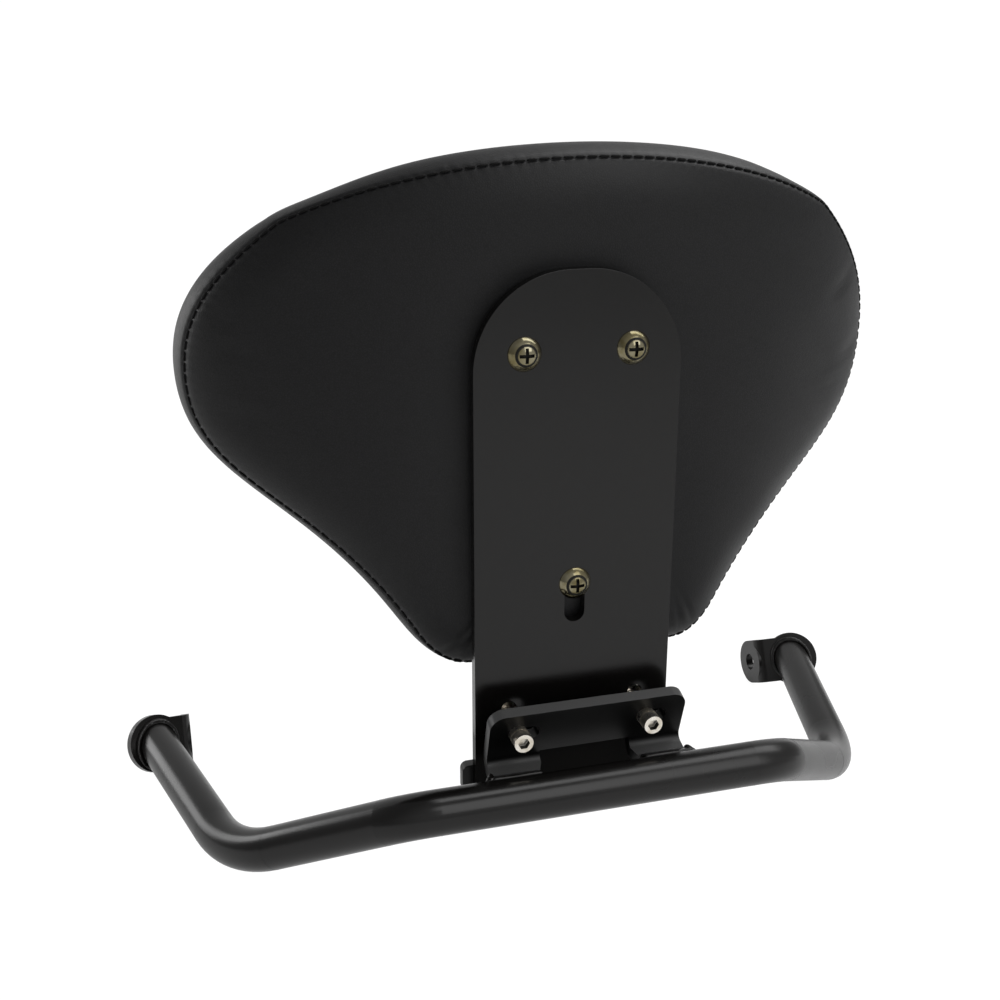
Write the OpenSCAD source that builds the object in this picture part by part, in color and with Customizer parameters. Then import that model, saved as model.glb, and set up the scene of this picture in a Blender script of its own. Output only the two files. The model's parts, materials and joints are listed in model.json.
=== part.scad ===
// Sissy bar for a motorbike: a bent tube on two drilled tabs, a slotted
// bracket, an upright plate and a curved, sewn backrest pad.
// Origin: middle of the common axis of the two tab holes.
// +X to the rider's right, +Y forward, +Z up along the upright plate.

/* [Tube] */
// Outside diameter of the tube
tube_d = 22.2; // [19:0.1:26]
// Wall of the tube
tube_wall = 2; // [1.2:0.1:3]
// Half length of the straight middle run, to the corner of its centreline
middle_half = 96; // [90:1:110]
// Sideways reach of the tube's knee from the middle
knee_x = 175.7; // [165:0.1:190]
// Forward reach of the knee
knee_fwd = 67.3; // [55:0.1:80]
// Drop of the knee below the middle run
knee_drop = 51.4; // [40:0.1:60]
// Sideways reach of the tube's end
end_x = 209; // [200:0.5:220]
// Forward reach of the tube's end
end_fwd = 189.5; // [175:0.5:205]
// Drop of the tube's end below the middle run
end_drop = 46.5; // [40:0.5:52]
// Bend radius of the centreline beside the middle run
shoulder_r = 33.2; // [30:0.1:45]
// Bend radius of the centreline at the knee
knee_r = 72; // [55:1:80]

/* [Mounting tabs] */
// Thickness of the strap
tab_t = 5; // [3:0.5:6]
// Width of the strap
tab_w = 29; // [26:0.5:31]
// Radius of the strap's round end on the tube
disc_r = 17; // [16.5:0.5:19]
// Turn of the round end, to face the tube
disc_turn = 25; // [20:1:28]
// Downward tip of the strap
strap_tip = 26; // [20:1:30]
// Distance from the middle to the tab's inner face
tab_inner_x = 189.3; // [186:0.1:192]
// Distance from the tube's end to the hole, along the tab
tab_reach = 23.2; // [21:0.1:30]
// Diameter of the tab's hole
tab_hole_d = 11; // [8:0.5:12]
// Inside bend radius of the strap
tab_bend_r = 3; // [2:0.5:4]
// Size of the weld bead round the tube's end
bead = 2.4; // [1.5:0.1:2.8]

/* [Slotted bracket] */
// Width of the bracket
bracket_w = 103; // [96:1:112]
// Thickness of the bracket
bracket_t = 6; // [5:0.5:7]
// Backward lean of the bracket against the plate
bracket_lean = 18; // [14:1:20]
// Distance from the tube's centreline to the bracket's rear face
bracket_off = 25.2; // [23:0.1:26]
// Height of the bracket's top edge over the centreline
bracket_top = 31.2; // [29:0.1:36]
// Height of the lips' upper side over the centreline
lip_top = 0.4; // [-1:0.1:2]
// Inside bend radius at the lips
lip_bend_r = 4; // [3:0.5:5]
// Radius of the bracket's top corners
bracket_corner_r = 8; // [5:0.5:12]
// Width of the notch between the feet
notch_w = 48; // [40:1:54]
// Outward lean of the lips' inner edge towards the tube
lip_flare = 4; // [2:0.5:7]
// Length of the bracket's slots
slot_len = 16; // [14:0.5:19]
// Height of the bracket's slots
slot_h = 8.4; // [8.4:0.1:9]
// Distance between the bracket's slots
slot_gap = 67.2; // [62:0.2:72]
// Height of the slots over the centreline
slot_up = 18.4; // [18:0.1:19]
// Size of the weld fillets at the feet
foot_weld = 6; // [4:0.5:7]

/* [Upright plate] */
// Width of the plate
plate_w = 102.4; // [98:0.2:108]
// Thickness of the plate
plate_t = 6; // [4:0.5:7]
// Distance from the tube's centreline forward to the plate's rear face
plate_back = 33.2; // [33:0.1:36]
// Height of the plate's top over the tube's centreline
plate_top = 250.5; // [235:0.5:262]
// Depth of the plate's foot below the tube's centreline
plate_foot = 14; // [10:0.5:20]
// Radius of the plate's top corners
plate_corner_r = 46.5; // [30:0.5:48]
// Sideways set of the plate and its screws in the slots
side_set = -3.3; // [-4:0.1:4]
// Width of the foot bar
bar_w = 113; // [106:1:118]
// Height of the foot bar
bar_h = 16; // [14:0.5:20]
// Thickness of the foot bar
bar_t = 6; // [4:0.5:7]
// Drop of the foot bar's top edge below the centreline
bar_drop = 1; // [0:0.5:2]
// Radius of the foot bar's corners
bar_corner_r = 3.5; // [2:0.5:6]

/* [Clamp screws] */
// Diameter of the clamp screws' shank
clamp_d = 6; // [5:0.1:6]
// Diameter of the socket head
clamp_head_d = 9.6; // [9:0.1:11]
// Height of the socket head
clamp_head_h = 6; // [5:0.1:6.5]
// Size of the hex socket across flats
clamp_socket = 5; // [4:0.5:5]
// Depth of the hex socket
clamp_socket_deep = 3; // [2:0.5:3.5]
// Distance between the clamp screws
clamp_gap = 67.4; // [62:0.2:72]
// Height of the clamp screws over the tube's centreline
clamp_up = 26.2; // [25:0.1:28]
// Distance from the tube's centreline forward to the screw heads' ends
clamp_head_at = 6.8; // [5:0.1:7.5]
// Length of the screws past the nuts
clamp_past_nut = 7; // [3:0.5:12]
// Width of the plate's upright slots
foot_slot_w = 8; // [7:0.1:9]
// Length of the plate's upright slots
foot_slot_len = 19; // [16:0.5:24]
// Outside diameter of the spacer sleeves
sleeve_d = 12; // [10.5:0.5:14]
// Outside diameter of the washers
washer_d = 14; // [12.5:0.5:16]
// Thickness of the washers
washer_t = 1.6; // [1.2:0.1:2]
// Nut size across flats
nut_af = 10; // [9:0.5:11]
// Height of the nuts
nut_h = 5; // [4:0.5:6]

/* [Pad screws] */
// Diameter of the pad screws' shank
pad_screw_d = 6; // [5:0.5:6]
// Diameter of the domed head
pad_head_d = 16.5; // [14:0.5:18]
// Height of the domed head
pad_head_h = 4.6; // [3.5:0.1:5.5]
// Depth of the cross recess
cross_deep = 2.4; // [1.5:0.1:2.8]
// Distance between the two upper screws
pad_screw_gap = 53.3; // [46:0.1:60]
// Height of the upper screws over the tube's centreline
pad_screw_top = 212.5; // [204:0.5:216]
// Height of the lower screw over the tube's centreline
pad_screw_low = 96.2; // [90:0.1:100]
// Width of the slot under the lower screw
pad_slot_w = 10.4; // [8:0.1:11]
// Height of the slot's bottom over the tube's centreline
pad_slot_bottom = 75.7; // [72:0.1:80]
// Flange diameter of the tee nuts
tee_d = 22; // [18:1:26]
// Barrel diameter of the tee nuts
tee_barrel_d = 9; // [8:0.5:10]
// Flange thickness of the tee nuts
tee_t = 1.5; // [1:0.1:2]

/* [Pad] */
// Half width of the pad at its seam
pad_half = 183; // [165:1:195]
// Height of the pad's top seam over the tube's centreline
pad_top = 299.8; // [288:0.1:310]
// Height at which the pad is widest
pad_wide_at = 196.6; // [190:0.1:210]
// Sideways place of the soft corner in the pad's outline
pad_corner_x = 138; // [128:1:146]
// Height of the soft corner
pad_corner_at = 271; // [262:1:278]
// Half width of the pad where its flank turns into the foot
pad_foot_half = 81; // [70:1:90]
// Height of the pad's foot seam over the tube's centreline
pad_foot_at = 50; // [42:1:58]
// Height over the foot seam at which the flank starts to turn
pad_foot_turn = 17; // [10:1:24]
// Reach of the curve out of the top's middle
top_reach = 64; // [30:1:90]
// Reach of the top's curve into the soft corner
corner_in_reach = 31; // [15:1:45]
// Reach of the side's curve out of the soft corner
corner_out_reach = 50; // [20:1:60]
// Reach of the side's curve into the widest place
wide_in_reach = 20; // [10:1:40]
// Reach of the flank's curve out of the widest place
wide_out_reach = 57; // [30:1:80]
// Reach of the flank's curve into the foot
foot_reach = 92; // [50:1:110]
// Slope of the outline as it comes into the soft corner
corner_in_slope = 27; // [15:0.5:35]
// Slope of the outline as it leaves the soft corner
corner_out_slope = 39; // [35:0.5:55]
// Slope of the flank at the foot
foot_slope = 59; // [50:1:70]
// Depth of the side band between its seams
band_deep = 36; // [30:1:45]
// Outward swell of the side band
band_swell = 5; // [2:0.5:7]
// Thickness of the cover
cover_t = 1.5; // [1:0.1:2]
// Forward set of the rear seam from the flat of the rear panel
edge_drop = 4; // [2:0.5:7]
// How much further forward the rear seam is at the foot than at mid height
seam_lean = 5; // [0:0.5:6]
// Swell of the front panel
front_swell = 12; // [6:0.5:16]
// Forward sweep of the pad's wings
wing_sweep = 62; // [40:1:72]
// Sideways set of the pad
pad_set = 2; // [-3:0.5:4]
// Thickness of the board
board_t = 9; // [6:0.5:11]
// Width of the board
board_w = 80; // [76:1:84]
// Height of the board
board_h = 150; // [145:1:156]
// Corner radius of the board
board_r = 24; // [16:1:30]
// Foam between the rear cover and the board
board_bed = 3.4; // [3.2:0.1:4.5]
// Gap between a soft piece and its neighbour
soft_gap = 0.4; // [0.2:0.05:0.5]

/* [Hidden] */
$fn = 64;
far = 400;
black_steel = [0.10, 0.10, 0.10];
black_hide = [0.07, 0.07, 0.08];
silver = [0.72, 0.71, 0.68];
olive = [0.33, 0.31, 0.20];

function unit(v) = v / norm(v);
function mix(a, b, s) = a + (b - a) * s;
function bezier(a, b, c, d, s) = a * pow(1 - s, 3) + b * 3 * s * pow(1 - s, 2)
    + c * 3 * s * s * (1 - s) + d * pow(s, 3);

// Tube centreline, right half
shoulder_p = [middle_half, 0, 0];
knee_p = [knee_x, knee_fwd, -knee_drop];
end_p = [end_x, end_fwd, -end_drop];
out_dir = unit(knee_p - shoulder_p);
leg_dir = unit(end_p - knee_p);
shoulder_turn = acos(out_dir[0]);
knee_turn = acos(out_dir * leg_dir);
shoulder_cut = shoulder_r * tan(shoulder_turn / 2);
knee_cut = knee_r * tan(knee_turn / 2);
tube_r = tube_d / 2;
stitch_gap = 0.15;
sweep_gap = 0.15;

// Tab hole, seen from the tube's middle
hole_fwd = end_fwd + tab_reach * cos(strap_tip);
hole_drop = end_drop + tab_reach * sin(strap_tip);
tab_mid = tab_inner_x + tab_t / 2 - end_x;
neck_len = (sin(disc_turn) * tab_t / 2 - tab_mid) / cos(disc_turn);
corner_fwd = cos(disc_turn) * tab_t / 2 + neck_len * sin(disc_turn);
strap_turn = 90 - disc_turn;
strap_cut = (tab_bend_r + tab_t / 2) * tan(strap_turn / 2);

// Stack of the clamp screws, forward from the tube's middle
plate_front = plate_back + plate_t;
collar_at = clamp_head_at + clamp_head_h;
nut_at = plate_front + washer_t;
clamp_end = nut_at + nut_h + clamp_past_nut;
slot_r = slot_h / 2;
foot_slot_top = clamp_up + foot_slot_len / 2;

// Stack of the pad, forward from the tube's middle
pad_rear = plate_front + soft_gap;
board_rear = pad_rear + cover_t + board_bed;
board_front = board_rear + board_t;
pad_mid_z = (pad_top + pad_foot_at) / 2;
board_mid_z = (pad_screw_top + pad_screw_low) / 2;
pad_screw_end = board_front + tee_t + 3;

// Places a piece drawn about the tube's middle
module on_bar() {
    translate([0, -hole_fwd, hole_drop]) children();
}

module along(p, dir) {
    translate(p) rotate([0, acos(dir[2]), atan2(dir[1], dir[0])]) children();
}

module run(a, b, r) {
    along(a, unit(b - a)) cylinder(r = r, h = norm(b - a));
}

module elbow(corner, dir_in, dir_out, bend, r) {
    turn = acos(dir_in * dir_out);
    k = unit(cross(dir_in, dir_out));
    m = cross(k, dir_in);
    o = corner - dir_in * bend * tan(turn / 2) + m * bend;
    multmatrix([
        [-m[0], dir_in[0], k[0], o[0]],
        [-m[1], dir_in[1], k[1], o[1]],
        [-m[2], dir_in[2], k[2], o[2]],
        [0, 0, 0, 1]])
        rotate_extrude(angle = turn) translate([bend, 0]) circle(r = r);
}

// Straight run between two bends, a hair short at both ends
module short_run(a, b, r) {
    run(a + unit(b - a) * sweep_gap, b - unit(b - a) * sweep_gap, r);
}

// Thin ring over a joint of the sweep, so that its pieces overlap
module joint(p, dir, r) {
    run(p - dir * 2 * sweep_gap, p + dir * 2 * sweep_gap, r + sweep_gap / 5);
}

module half_tube(r) {
    joint(shoulder_p - [1, 0, 0] * shoulder_cut, [1, 0, 0], r);
    elbow(shoulder_p, [1, 0, 0], out_dir, shoulder_r, r);
    joint(shoulder_p + out_dir * shoulder_cut, out_dir, r);
    short_run(shoulder_p + out_dir * shoulder_cut, knee_p - out_dir * knee_cut, r);
    joint(knee_p - out_dir * knee_cut, out_dir, r);
    elbow(knee_p, out_dir, leg_dir, knee_r, r);
    joint(knee_p + leg_dir * knee_cut, leg_dir, r);
    short_run(knee_p + leg_dir * knee_cut, end_p + leg_dir * tube_d, r);
}

module whole_tube(r) {
    half_tube(r);
    mirror([1, 0, 0]) half_tube(r);
    short_run([shoulder_cut - middle_half, 0, 0], [middle_half - shoulder_cut, 0, 0], r);
}

// Frame of the strap: its origin is where the tube's end meets it
module on_strap() {
    translate(end_p) rotate([-strap_tip, 0, 0]) children();
}

module past_end() {
    on_strap() rotate([0, 0, -disc_turn]) translate([-2 * disc_r, 0, -2 * disc_r]) cube(4 * disc_r);
}

module bent_tube() {
    color(black_steel) on_bar() difference() {
        whole_tube(tube_r);
        whole_tube(tube_r - tube_wall);
        past_end();
        mirror([1, 0, 0]) past_end();
    }
}

// Side of the strap: neck on the round end, bend, and the tab with the hole
module strap_profile() {
    rotate(-disc_turn) translate([strap_cut - neck_len, 0]) square([neck_len - strap_cut, tab_t]);
    translate([tab_mid + tab_bend_r + tab_t / 2, corner_fwd + strap_cut]) intersection() {
        difference() {
            circle(r = tab_bend_r + tab_t);
            circle(r = tab_bend_r);
        }
        polygon([
            [0, 0],
            [-tab_w, 0],
            [-tab_w, -tab_w],
            [-tab_w * cos(strap_turn), -tab_w * sin(strap_turn)]]);
    }
    translate([tab_mid - tab_t / 2, corner_fwd + strap_cut])
        square([tab_t, tab_reach - corner_fwd - strap_cut]);
}

module mount_tab() {
    on_strap() difference() {
        union() {
            rotate([0, 0, -disc_turn]) rotate([-90, 0, 0]) cylinder(r = disc_r, h = tab_t);
            translate([0, 0, -tab_w / 2]) linear_extrude(height = tab_w) strap_profile();
            translate([tab_mid - tab_t / 2, tab_reach, 0])
                rotate([0, 90, 0]) cylinder(r = tab_w / 2, h = tab_t);
        }
        translate([tab_mid - tab_t, tab_reach, 0])
            rotate([0, 90, 0]) cylinder(d = tab_hole_d, h = tab_t * 2);
    }
}

module right_mount_tab() {
    color(black_steel) on_bar() mount_tab();
}

module left_mount_tab() {
    color(black_steel) on_bar() mirror([1, 0, 0]) mount_tab();
}

module tab_weld() {
    intersection() {
        difference() {
            run(end_p - leg_dir * tube_d, end_p + leg_dir * tube_d, tube_r + bead);
            run(end_p - leg_dir * 2 * tube_d, end_p + leg_dir * 2 * tube_d, tube_r + stitch_gap / 10);
        }
        on_strap() rotate([0, 0, -disc_turn]) translate([-2 * disc_r, -bead, -2 * disc_r])
            cube([4 * disc_r, bead, 4 * disc_r]);
    }
}

module right_tab_weld() {
    color(black_steel) on_bar() tab_weld();
}

module left_tab_weld() {
    color(black_steel) on_bar() mirror([1, 0, 0]) tab_weld();
}

// Draws a profile of (forward, up) and pulls it along X
module pull_x(from_x, to_x) {
    translate([from_x, 0, 0]) rotate([90, 0, 90]) linear_extrude(height = to_x - from_x) children();
}

// Frame of the leaning bracket about the tube's centreline
module on_lean() {
    rotate([bracket_lean, 0, 0]) children();
}

module bracket_face_outline() {
    low = lip_top + lip_bend_r;
    half = bracket_w / 2;
    difference() {
        union() {
            translate([-half, low]) square([bracket_w, bracket_top - low - bracket_corner_r]);
            translate([-half + bracket_corner_r, low])
                square([bracket_w - 2 * bracket_corner_r, bracket_top - low]);
            for (s = [-1, 1])
                translate([s * (half - bracket_corner_r), bracket_top - bracket_corner_r])
                    circle(r = bracket_corner_r);
        }
        for (s = [-1, 1]) translate([s * slot_gap / 2, slot_up]) {
            square([slot_len - slot_h, slot_h], center = true);
            for (e = [-1, 1]) translate([e * (slot_len / 2 - slot_r), 0]) circle(r = slot_r);
        }
    }
}

// Lip and bend of one foot, seen from the side
module foot_profile() {
    lip_end = bracket_off - lip_bend_r;
    translate([tube_r / 2, lip_top - bracket_t]) square([lip_end - tube_r / 2, bracket_t]);
    intersection() {
        translate([lip_end, lip_top + lip_bend_r]) difference() {
            circle(r = lip_bend_r + bracket_t);
            circle(r = lip_bend_r);
        }
        translate([lip_end, lip_top - bracket_t])
            square([lip_bend_r + bracket_t, lip_bend_r + bracket_t]);
    }
}

// Plan of one foot: its inner edge leans outward as it nears the tube
module foot_plan() {
    lip_end = bracket_off - lip_bend_r;
    half = bracket_w / 2;
    polygon([
        [notch_w / 2, bracket_off + bracket_t],
        [half, bracket_off + bracket_t],
        [half, 0],
        [notch_w / 2 + lip_flare, 0],
        [notch_w / 2 + lip_flare, tube_r],
        [notch_w / 2, lip_end]]);
}

module bracket_foot() {
    intersection() {
        pull_x(0, bracket_w) foot_profile();
        translate([0, 0, lip_top - 2 * bracket_t]) linear_extrude(height = 4 * bracket_t) foot_plan();
    }
}

module slotted_bracket() {
    color(black_steel) on_bar() on_lean() difference() {
        union() {
            translate([0, bracket_off + bracket_t, 0]) rotate([90, 0, 0])
                linear_extrude(height = bracket_t) bracket_face_outline();
            bracket_foot();
            mirror([1, 0, 0]) bracket_foot();
        }
        run([-far, 0, 0], [far, 0, 0], tube_r);
    }
}

// Fillet between one side of a lip and the tube, seen from the side
module fillet_profile(level) {
    meet = asin(level / tube_r);
    top = meet + foot_weld / tube_r * 180 / PI;
    polygon([
        [tube_r * cos(meet) - 2, level],
        [tube_r * cos(meet) + foot_weld - 1.5, level],
        [(tube_r + 0.2) * cos(top), (tube_r + 0.2) * sin(top)],
        [(tube_r - 2) * cos(top), (tube_r - 2) * sin(top)]]);
}

// One weld bead: over the lip, round its outer end and under it
module foot_weld_bead() {
    inner = notch_w / 2 + lip_flare - 1;
    half = bracket_w / 2;
    under = bracket_t - lip_top;
    difference() {
        union() {
            pull_x(inner, half + 1) fillet_profile(lip_top);
            pull_x(inner, half + 1) scale([1, -1]) fillet_profile(under);
            translate([0, 0, -under - 2]) linear_extrude(height = bracket_t + 5) polygon([
                [half, tube_r - 3],
                [half, tube_r + foot_weld - 1.5],
                [half + 1, tube_r + foot_weld - 1.5],
                [half + foot_weld - 1.5, tube_r - 1],
                [half + foot_weld - 1.5, tube_r - 3]]);
        }
        run([-far, 0, 0], [far, 0, 0], tube_r);
    }
}

module right_foot_weld() {
    color(black_steel) on_bar() on_lean() foot_weld_bead();
}

module left_foot_weld() {
    color(black_steel) on_bar() on_lean() mirror([1, 0, 0]) foot_weld_bead();
}

module plate_outline() {
    half = plate_w / 2;
    high = plate_top - plate_corner_r;
    difference() {
        union() {
            translate([-half, -plate_foot]) square([plate_w, high + plate_foot]);
            translate([-half + plate_corner_r, 0]) square([plate_w - 2 * plate_corner_r, plate_top]);
            for (s = [-1, 1]) translate([s * (half - plate_corner_r), high]) circle(r = plate_corner_r);
        }
        for (s = [-1, 1]) translate([s * pad_screw_gap / 2, pad_screw_top])
            circle(d = pad_screw_d + 0.8);
        translate([-pad_slot_w / 2, pad_slot_bottom + pad_slot_w / 2])
            square([pad_slot_w, pad_screw_low - pad_slot_bottom - pad_slot_w / 2]);
        for (z = [pad_slot_bottom + pad_slot_w / 2, pad_screw_low])
            translate([0, z]) circle(d = pad_slot_w);
        for (s = [-1, 1]) translate([s * clamp_gap / 2, clamp_up]) {
            square([foot_slot_w, foot_slot_len - foot_slot_w], center = true);
            for (e = [-1, 1]) translate([0, e * (foot_slot_len - foot_slot_w) / 2])
                circle(d = foot_slot_w);
        }
    }
}

module upright_plate() {
    color(black_steel) on_bar() translate([side_set, plate_front, 0]) rotate([90, 0, 0])
        linear_extrude(height = plate_t) plate_outline();
}

module plate_foot_bar() {
    color(black_steel) on_bar()
        translate([side_set, plate_front + bar_t, -bar_drop - bar_h / 2]) rotate([90, 0, 0])
        linear_extrude(height = bar_t) {
            square([bar_w, bar_h - 2 * bar_corner_r], center = true);
            square([bar_w - 2 * bar_corner_r, bar_h], center = true);
            for (s = [-1, 1], e = [-1, 1])
                translate([s * (bar_w / 2 - bar_corner_r), e * (bar_h / 2 - bar_corner_r)])
                    circle(r = bar_corner_r);
        }
}

// Frame of one clamp screw: +Z runs forward along the screw
module on_clamp(s) {
    on_bar() translate([side_set + s * clamp_gap / 2, 0, clamp_up]) rotate([-90, 0, 0]) children();
}

module clamp_screw(s) {
    color(silver) on_clamp(s) difference() {
        union() {
            translate([0, 0, clamp_head_at]) cylinder(d = clamp_head_d, h = clamp_head_h);
            translate([0, 0, clamp_head_at]) cylinder(d = clamp_d, h = clamp_end - clamp_head_at);
        }
        translate([0, 0, clamp_head_at - 1])
            cylinder(d = clamp_socket / cos(30), h = clamp_socket_deep + 1, $fn = 6);
    }
}

module left_clamp_screw() {
    clamp_screw(-1);
}

module right_clamp_screw() {
    clamp_screw(1);
}

// Everything in front of the plane at this distance in the bracket's frame
module ahead_of(off) {
    on_bar() on_lean() translate([-far, off, -far]) cube([2 * far, far, 2 * far]);
}

module behind_of(off) {
    on_bar() on_lean() translate([-far, off - far, -far]) cube([2 * far, far, 2 * far]);
}

module head_collar(s) {
    color(silver) difference() {
        on_clamp(s) translate([0, 0, collar_at]) difference() {
            cylinder(d = clamp_head_d, h = bracket_off - collar_at + 2);
            translate([0, 0, -1]) cylinder(d = clamp_d + 0.4, h = bracket_off);
        }
        ahead_of(bracket_off);
    }
}

module left_head_collar() {
    head_collar(-1);
}

module right_head_collar() {
    head_collar(1);
}

module spacer_sleeve(s) {
    color(black_steel) difference() {
        on_clamp(s) translate([0, 0, bracket_off - 8]) difference() {
            cylinder(d = sleeve_d, h = plate_back - bracket_off + 8);
            translate([0, 0, -1]) cylinder(d = clamp_d + 0.4, h = plate_back);
        }
        behind_of(bracket_off + bracket_t);
    }
}

module left_spacer_sleeve() {
    spacer_sleeve(-1);
}

module right_spacer_sleeve() {
    spacer_sleeve(1);
}

module clamp_washer(s) {
    color(silver) on_clamp(s) translate([0, 0, plate_front]) difference() {
        cylinder(d = washer_d, h = washer_t);
        translate([0, 0, -1]) cylinder(d = clamp_d + 0.4, h = washer_t + 2);
    }
}

module left_clamp_washer() {
    clamp_washer(-1);
}

module right_clamp_washer() {
    clamp_washer(1);
}

module clamp_nut(s) {
    color(silver) on_clamp(s) translate([0, 0, nut_at]) difference() {
        cylinder(d = nut_af / cos(30), h = nut_h, $fn = 6);
        translate([0, 0, -1]) cylinder(d = clamp_d + 0.1, h = nut_h + 2);
    }
}

module left_clamp_nut() {
    clamp_nut(-1);
}

module right_clamp_nut() {
    clamp_nut(1);
}

// Frame of one pad screw: +Z runs forward along the screw
module on_pad_screw(x, z) {
    on_bar() translate([side_set + x, 0, z]) rotate([-90, 0, 0]) children();
}

// Domed head with a cross recess, shank into the tee nut
module pad_screw(x, z) {
    dome_r = (pow(pad_head_d / 2, 2) + pow(pad_head_h, 2)) / (2 * pad_head_h);
    color(olive) on_pad_screw(x, z) difference() {
        union() {
            intersection() {
                translate([0, 0, plate_back - pad_head_h + dome_r]) sphere(r = dome_r);
                translate([0, 0, plate_back - pad_head_h - 1])
                    cylinder(d = pad_head_d, h = pad_head_h + 1);
            }
            translate([0, 0, plate_back - pad_head_h / 2])
                cylinder(d = pad_screw_d, h = pad_screw_end - plate_back + pad_head_h / 2);
        }
        for (a = [0, 90]) rotate([0, 0, a]) translate([-3.6, -0.8, plate_back - pad_head_h - 1])
            cube([7.2, 1.6, cross_deep + 1]);
    }
}

module upper_left_pad_screw() {
    pad_screw(-pad_screw_gap / 2, pad_screw_top);
}

module upper_right_pad_screw() {
    pad_screw(pad_screw_gap / 2, pad_screw_top);
}

module lower_pad_screw() {
    pad_screw(0, pad_screw_low);
}

module tee_nut(x, z) {
    color(silver) on_pad_screw(x, z) difference() {
        union() {
            translate([0, 0, board_front]) cylinder(d = tee_d, h = tee_t);
            translate([0, 0, board_rear + 2]) cylinder(d = tee_barrel_d, h = board_t - 2 + tee_t);
        }
        translate([0, 0, board_rear]) cylinder(d = pad_screw_d + 0.1, h = board_t + 10);
    }
}

module upper_left_tee_nut() {
    tee_nut(-pad_screw_gap / 2, pad_screw_top);
}

module upper_right_tee_nut() {
    tee_nut(pad_screw_gap / 2, pad_screw_top);
}

module lower_tee_nut() {
    tee_nut(0, pad_screw_low);
}

module at_pad_screws() {
    for (s = [-1, 1]) on_pad_screw(s * pad_screw_gap / 2, pad_screw_top) children();
    on_pad_screw(0, pad_screw_low) children();
}

module board_outline(grow) {
    r = board_r + grow;
    w = board_w + 2 * grow;
    h = board_h + 2 * grow;
    square([w, h - 2 * r], center = true);
    square([w - 2 * r, h], center = true);
    for (s = [-1, 1], e = [-1, 1]) translate([s * (w / 2 - r), e * (h / 2 - r)]) circle(r = r);
}

module pad_board() {
    color([0.55, 0.42, 0.28]) difference() {
        on_bar() translate([pad_set, board_front, board_mid_z]) rotate([90, 0, 0])
            linear_extrude(height = board_t) board_outline(0);
        at_pad_screws() cylinder(d = tee_barrel_d + 0.2, h = 2 * board_front);
    }
}

// Pad outline, right half, from the top's middle to the foot's middle
function slope_dir(deg) = [cos(deg), sin(deg)];
corner_p = [pad_corner_x, pad_corner_at];
wing_p = [pad_half, pad_wide_at];
foot_p = [pad_foot_half, pad_foot_at + pad_foot_turn];
flank_dir = slope_dir(foot_slope);
toe_reach = pad_foot_turn * 0.6;
toe_p = [pad_foot_half - pad_foot_turn * 1.4, pad_foot_at];
half_outline = concat(
    [for (i = [0:9]) bezier([0, pad_top], [top_reach, pad_top],
        corner_p - slope_dir(-corner_in_slope) * corner_in_reach, corner_p, i / 10)],
    [for (i = [0:7]) bezier(corner_p, corner_p + slope_dir(-corner_out_slope) * corner_out_reach,
        wing_p + [0, wide_in_reach], wing_p, i / 8)],
    [for (i = [0:11]) bezier(wing_p, wing_p - [0, wide_out_reach],
        foot_p + flank_dir * foot_reach, foot_p, i / 12)],
    [for (i = [0:3]) bezier(foot_p, foot_p - flank_dir * toe_reach, toe_p + [toe_reach, 0], toe_p, i / 4)],
    [for (i = [0:3]) toe_p - [toe_p[0] * i / 4, 0]]);
half_n = len(half_outline);
ring_n = 2 * half_n;
outline = concat(half_outline, [[0, pad_foot_at]],
    [for (i = [1:half_n - 1]) [-half_outline[half_n - i][0], half_outline[half_n - i][1]]]);
function turn_in(v) = [v[1], -v[0]];
function outline_in(i) = turn_in(unit(outline[(i + 1) % ring_n] - outline[(i + ring_n - 1) % ring_n]));
// Outline point moved inward by e
function edge_point(i, e) = outline[i] + outline_in(i) * e;
function ring_point(i, f, e) = mix([0, pad_mid_z], edge_point(i, e), f);
// Forward curve of the wings: flat behind the plate, steep at the tips
function sweep(x) = wing_sweep * pow(abs(x) / pad_half, 2.2);
function seam_drop(z) = edge_drop - seam_lean * (z - pad_mid_z) / (pad_mid_z - pad_foot_at);
function rear_y(p, f) = pad_rear + sweep(p[0]) + seam_drop(p[1]) * pow(f, 8);
function front_y(p, f) = pad_rear + band_deep + sweep(p[0]) + seam_drop(p[1]) + front_swell * (1 - pow(f, 4));
fs = [0.22, 0.42, 0.58, 0.71, 0.81, 0.89, 0.95, 1];

function rear_ring(f, e, dy) = [for (i = [0:ring_n - 1]) let (p = ring_point(i, f, e))
    [p[0], rear_y(p, f) + dy, p[1]]];
function front_ring(f, e, dy) = [for (i = [0:ring_n - 1]) let (p = ring_point(i, f, e))
    [p[0], front_y(p, f) - dy, p[1]]];
function band_ring(s, e) = [for (i = [0:ring_n - 1])
    let (p = edge_point(i, e - band_swell * sin(180 * s)), q = edge_point(i, e))
    [p[0], rear_y(q, 1) + cover_t + stitch_gap + (band_deep - 2 * cover_t - 2 * stitch_gap) * s, p[1]]];
function join_rings(rings, first) = [for (r = [0:len(rings) - 2], i = [0:ring_n - 1])
    let (a = first + r * ring_n + i, b = first + r * ring_n + (i + 1) % ring_n)
    each [[a, a + ring_n, b + ring_n], [a, b + ring_n, b]]];

// Closed body from a rear centre point, rings from rear to front, and a front centre point
module ring_body(rear_tip, rings, front_tip) {
    n = len(rings) * ring_n;
    points = concat([rear_tip], [for (r = rings) each r], [front_tip]);
    faces = concat(
        [for (i = [0:ring_n - 1]) [0, 1 + i, 1 + (i + 1) % ring_n]],
        join_rings(rings, 1),
        [for (i = [0:ring_n - 1]) [n + 1, n - ring_n + 1 + (i + 1) % ring_n, n - ring_n + 1 + i]]);
    on_bar() translate([pad_set, 0, 0]) polyhedron(points = points, faces = faces);
}

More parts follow.
